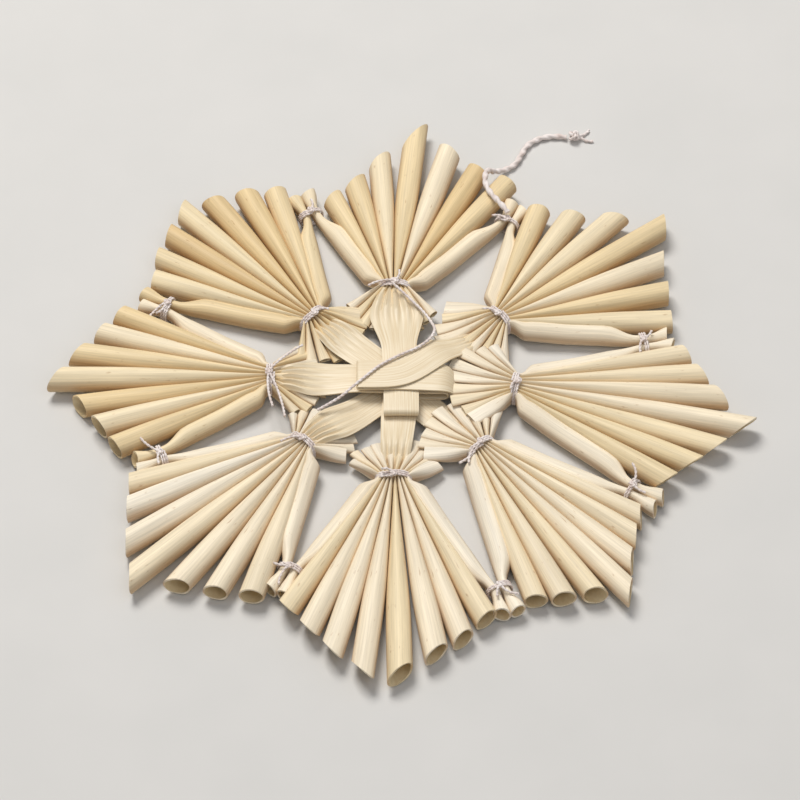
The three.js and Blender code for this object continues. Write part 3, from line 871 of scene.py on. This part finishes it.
# Ironing leaves the straw's skin smooth and a little glossier than on the round straws. Its fibres are 0.2 mm
# apart and run along each limb.
IRONED_STOPS = ((0.3, "#D8C19A"), (0.68, "#EDDFC4"))
IRONED_FIBRE, IRONED_LONG, IRONED_DEEP = 0.2, 10, 0.05 * MM
ironed, ironed_shader = new_material("ironed_rye_straw")
ironed_uv = add_node(ironed, "ShaderNodeUVMap")
ironed_fine = add_node(
    ironed, "ShaderNodeMapping", {"Scale": (1 / IRONED_FIBRE, 1 / IRONED_LONG, 1)},
    Vector=ironed_uv.outputs["UV"],
)
ironed_fibres = add_node(
    ironed, "ShaderNodeTexNoise", {"Scale": 1.0, "Detail": 3, "Roughness": 0.6},
    Vector=ironed_fine.outputs["Vector"],
)
ironed_ramp = add_node(ironed, "ShaderNodeValToRGB", i0=ironed_fibres.outputs["Fac"])
for element, (position, code) in zip(ironed_ramp.color_ramp.elements, IRONED_STOPS):
    element.position, element.color = position, linear(code)
ironed_bump = add_node(
    ironed, "ShaderNodeBump", {"Strength": 0.3, "Distance": IRONED_DEEP}, Height=ironed_fibres.outputs["Fac"]
)
ironed.node_tree.links.new(ironed_ramp.outputs["Color"], ironed_shader.inputs["Base Color"])
ironed.node_tree.links.new(ironed_bump.outputs["Normal"], ironed_shader.inputs["Normal"])
ironed_shader.inputs["Roughness"].default_value = 0.44

for name, (turn, limbs) in FOLDED.items():
    one, two = (resample(limb(turn, *values), LIMB_ROWS) for values in limbs)
    radius = (two[0][2] - one[0][2]) / 2
    rows = [tuple(row) for row in one[::-1]]
    for angle in (30, 60, 90, 120, 150):  # round the fold, from the lower limb to the upper one
        a = math.radians(angle)
        at = Vector(one[0][:3]) + polar(turn, min(radius, RIBBON_BULGE) * math.sin(a))
        rows.append((at.x, at.y, one[0][2] + radius * (1 - math.cos(a)), one[0][3], RIBBON_WIDE, 0))
    rows += [tuple(row) for row in two]
    bpy.ops.mesh.primitive_grid_add(
        x_subdivisions=ACROSS, y_subdivisions=len(rows) - 1, size=2, calc_uvs=True
    )
    ribbon = bpy.context.object
    grid = np.array([v.co for v in ribbon.data.vertices])
    row_of = np.rint((grid[:, 1] + 1) / 2 * (len(rows) - 1)).astype(int)
    place = np.zeros_like(grid)
    lengths = np.cumsum([0] + [math.dist(p[:3], q[:3]) for p, q in zip(rows, rows[1:])])
    for k, (x, y, z, heading, wide, pleat) in enumerate(rows):
        chosen = row_of == k
        t = grid[chosen][:, 0]
        side = polar(heading - 90, 1)
        up = CROWN * (1 - t**2) + pleat * np.cos(t * math.pi * 5)
        points = np.stack([x + side.x * t * wide / 2, y + side.y * t * wide / 2, z + up], 1)
        place[chosen] = points + np.array(tuple(star))
    ribbon.data.vertices.foreach_set("co", (place * MM).ravel())
    uv = ribbon.data.uv_layers.active
    for loop in ribbon.data.loops:  # in millimetres, across and along
        across = grid[loop.vertex_index][0] * RIBBON_WIDE / 2
        uv.data[loop.index].uv = (across, lengths[row_of[loop.vertex_index]])
    ribbon.data.materials.append(ironed)
    sheet = ribbon.modifiers.new("thickness", "SOLIDIFY")
    sheet.thickness = RIBBON_WALL * MM
    sheet.offset = 0
    bpy.ops.object.modifier_apply(modifier="thickness")
    bpy.ops.object.mode_set(mode="EDIT")
    bpy.ops.mesh.select_all(action="SELECT")
    bpy.ops.mesh.normals_make_consistent(inside=False)
    bpy.ops.object.mode_set(mode="OBJECT")
    bpy.ops.object.shade_smooth_by_angle(angle=math.radians(50))
    ribbon.name = ribbon.data.name = "ironed_straw_" + name
    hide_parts("folded_straw_" + name)
    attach(ribbon, "root")


# ---- Neck threads --------------------------------------------------------------------------------
# Each bundle is bound with three turns of single cotton thread, knotted on the face of the star. The ends are
# trimmed short or left a few millimetres long.
WOUND, WOUND_TWIST, WOUND_PITCH = 0.4, 1.3, 0.36  # under tension it is a little thinner than its loose ends
WINDING_STEPS, WINDING_SQUARE = 40, 0.75  # points to a turn, and how boxy the turn is: 1 would be an oval
NECK_TURNS, NECK_LOW, NECK_ROOM, NECK_OVER = 3, 0.36, 0.3, 0.45
EDGE_STRAW = 0.62  # what the outermost straw adds to the bundle's width


def winding(at, axis, half_wide, low, high, turns):
    """A line that winds round a bundle lying along the axis, from its upper side."""
    middle, half_high = (low + high) / 2, (high - low) / 2
    points = []
    count = int(turns * WINDING_STEPS)
    for k in range(count + 1):
        a = math.pi / 2 + 2 * math.pi * k / WINDING_STEPS
        c, s = math.cos(a), math.sin(a)
        across = half_wide * math.copysign(abs(c) ** WINDING_SQUARE, c)
        slide = (k / count - 0.5) * turns * WOUND_PITCH
        p = at + polar(axis - 90, across) + polar(axis, slide)
        p.z = middle + half_high * math.copysign(abs(s) ** WINDING_SQUARE, s)
        points.append(p)
    return points


KNOT_LOBE, KNOT_THICK, KNOT_UP = 0.16, 0.38, 0.1
TAIL_THICK, TAIL_TWIST, TAIL_UP = 0.44, 1.4, 0.15


def knot_and_tails(name, at, top, tails):
    """A small double knot on top of a winding, and its trimmed ends."""
    lobes = overhand(KNOT_LOBE, KNOT_LOBE, count=60)
    knot = [tuple(Vector((at.x + x, at.y + y, top + KNOT_UP + z))) for x, y, z in lobes]
    parts = [twine(name + "_knot", np.array(knot), KNOT_THICK, WOUND_TWIST)]
    for number, (turn, long, curl, end_z) in enumerate(tails):
        line = []
        for t in np.linspace(0, 1, 6):
            p = at + polar(turn + curl * t, long * t)
            p.z = top + TAIL_UP + (end_z - top - TAIL_UP) * ease(t * 1.6)
            line.append(p)
        parts.append(twine(f"{name}_end_{number}", smooth_line(line), TAIL_THICK, TAIL_TWIST))
    return parts


# The trimmed ends at each neck: the turn, the length, how far it curls, and the height of its tip.
NECK_TAILS = {
    "east": ((-150, 2.2, 30, 4.6),),
    "north_east": ((150, 2.4, 20, 4.7),),
    "north": ((170, 4.2, 25, 4.3), (30, 2.0, 40, 4.6)),
    "north_west": ((40, 2.2, -30, 4.6),),
    "west": ((55, 7.2, -10, 4.4), (-96, 7.0, 12, 4.3), (-66, 9.4, -8, 4.3)),
    "south_west": ((172, 3.4, 24, 4.4),),
    "south": ((140, 1.8, 30, 4.8),),
    "south_east": ((-112, 5.0, -18, 3.6), (-140, 4.4, 26, 3.9)),
}
for name, arm in ARMS.items():
    node = "neck_thread_" + name
    at = Vector(arm["at"])
    half_wide = ((arm["straws"] - 1) * NECK_PITCH + EDGE_STRAW) / 2 + NECK_ROOM
    top = NECK_BOTTOM + NECK_HIGH + NECK_OVER
    line = winding(at, arm["axis"], half_wide, NECK_LOW, top, NECK_TURNS)
    parts = [twine(node + "_turns", smooth_line(line), WOUND, WOUND_TWIST)]
    at.z = 0
    knot_at = at + polar(arm["axis"], draw.uniform(-0.4, 0.4))
    parts += knot_and_tails(node, knot_at, top + WOUND / 2, NECK_TAILS[name])
    piece = join(node + "_wound", parts)
    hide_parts(node)
    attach(piece, "root")


# ---- Tie threads ---------------------------------------------------------------------------------
# Where two fans meet, their edge straws are pinched together with the same thread: two and a half turns and a
# knot on the face of the star.
TIE_TURNS, TIE_LOW, TIE_ROOM, TIE_TOP, TIE_KNOT = 2.5, 0.24, 0.28, 3.15, 3.3
TIE_TAILS = {
    "east": ((-120, 3.0, 20, 3.6), (20, 2.0, 30, 3.4)),
    "north_east": ((150, 2.4, 20, 3.6),),
    "north": ((60, 2.2, 30, 3.4),),
    "north_west": ((200, 4.4, 25, 2.6), (250, 2.6, -20, 3.0)),
    "west": ((160, 3.8, -20, 3.6), (250, 2.4, 20, 3.4)),
    "south_west": ((215, 3.6, 30, 3.0), (190, 2.4, -20, 3.4)),
    "south": ((300, 3.2, 30, 3.2), (240, 2.2, 20, 3.4)),
    "south_east": ((60, 3.6, 30, 4.0), (-60, 2.4, 20, 3.4)),
}
for number, (name, arm) in enumerate(ARMS.items()):
    node = f"tie_thread_{name}_to_{NAMES[(number + 1) % len(NAMES)]}"
    tie_turn = arm["tie"][0]
    at = middle_of(node)
    at.z = 0
    line = winding(at, tie_turn, TIE_WIDE + TIE_GAP / 2 + TIE_ROOM, TIE_LOW, TIE_TOP, TIE_TURNS)
    parts = [twine(node + "_turns", smooth_line(line), WOUND, WOUND_TWIST)]
    knot_at = at + polar(tie_turn, draw.uniform(-0.3, 0.3))
    parts += knot_and_tails(node, knot_at, TIE_KNOT, TIE_TAILS[name])
    piece = join(node + "_wound", parts)
    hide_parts(node)
    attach(piece, "root")


# ---- Floor ---------------------------------------------------------------------------------------
# The star lies on a plain pale sheet of matt card, 1.6 m square, which is not part of it. The card's tone
# changes very slightly, in patches about 17 mm across.
FLOOR_SIDE, CARD_DARK, CARD_PALE, CARD_PATCH = 1.6, "#D0CECA", "#D9D6D2", 1 / 60
bpy.ops.mesh.primitive_plane_add(size=FLOOR_SIDE, location=(0, 0, 0))
floor = bpy.context.object
floor.name = "floor"
card, card_shader = new_material("matt_card")
card_place = add_node(card, "ShaderNodeTexCoord")
card_tone = add_node(
    card, "ShaderNodeTexNoise", {"Scale": 1 / CARD_PATCH, "Detail": 3}, Vector=card_place.outputs["Object"]
)
card_ramp = add_node(card, "ShaderNodeValToRGB", i0=card_tone.outputs["Fac"])
card_ramp.color_ramp.elements[0].color = linear(CARD_DARK)
card_ramp.color_ramp.elements[1].color = linear(CARD_PALE)
card.node_tree.links.new(card_ramp.outputs["Color"], card_shader.inputs["Base Color"])
card_shader.inputs["Roughness"].default_value = 0.9
floor.data.materials.append(card)
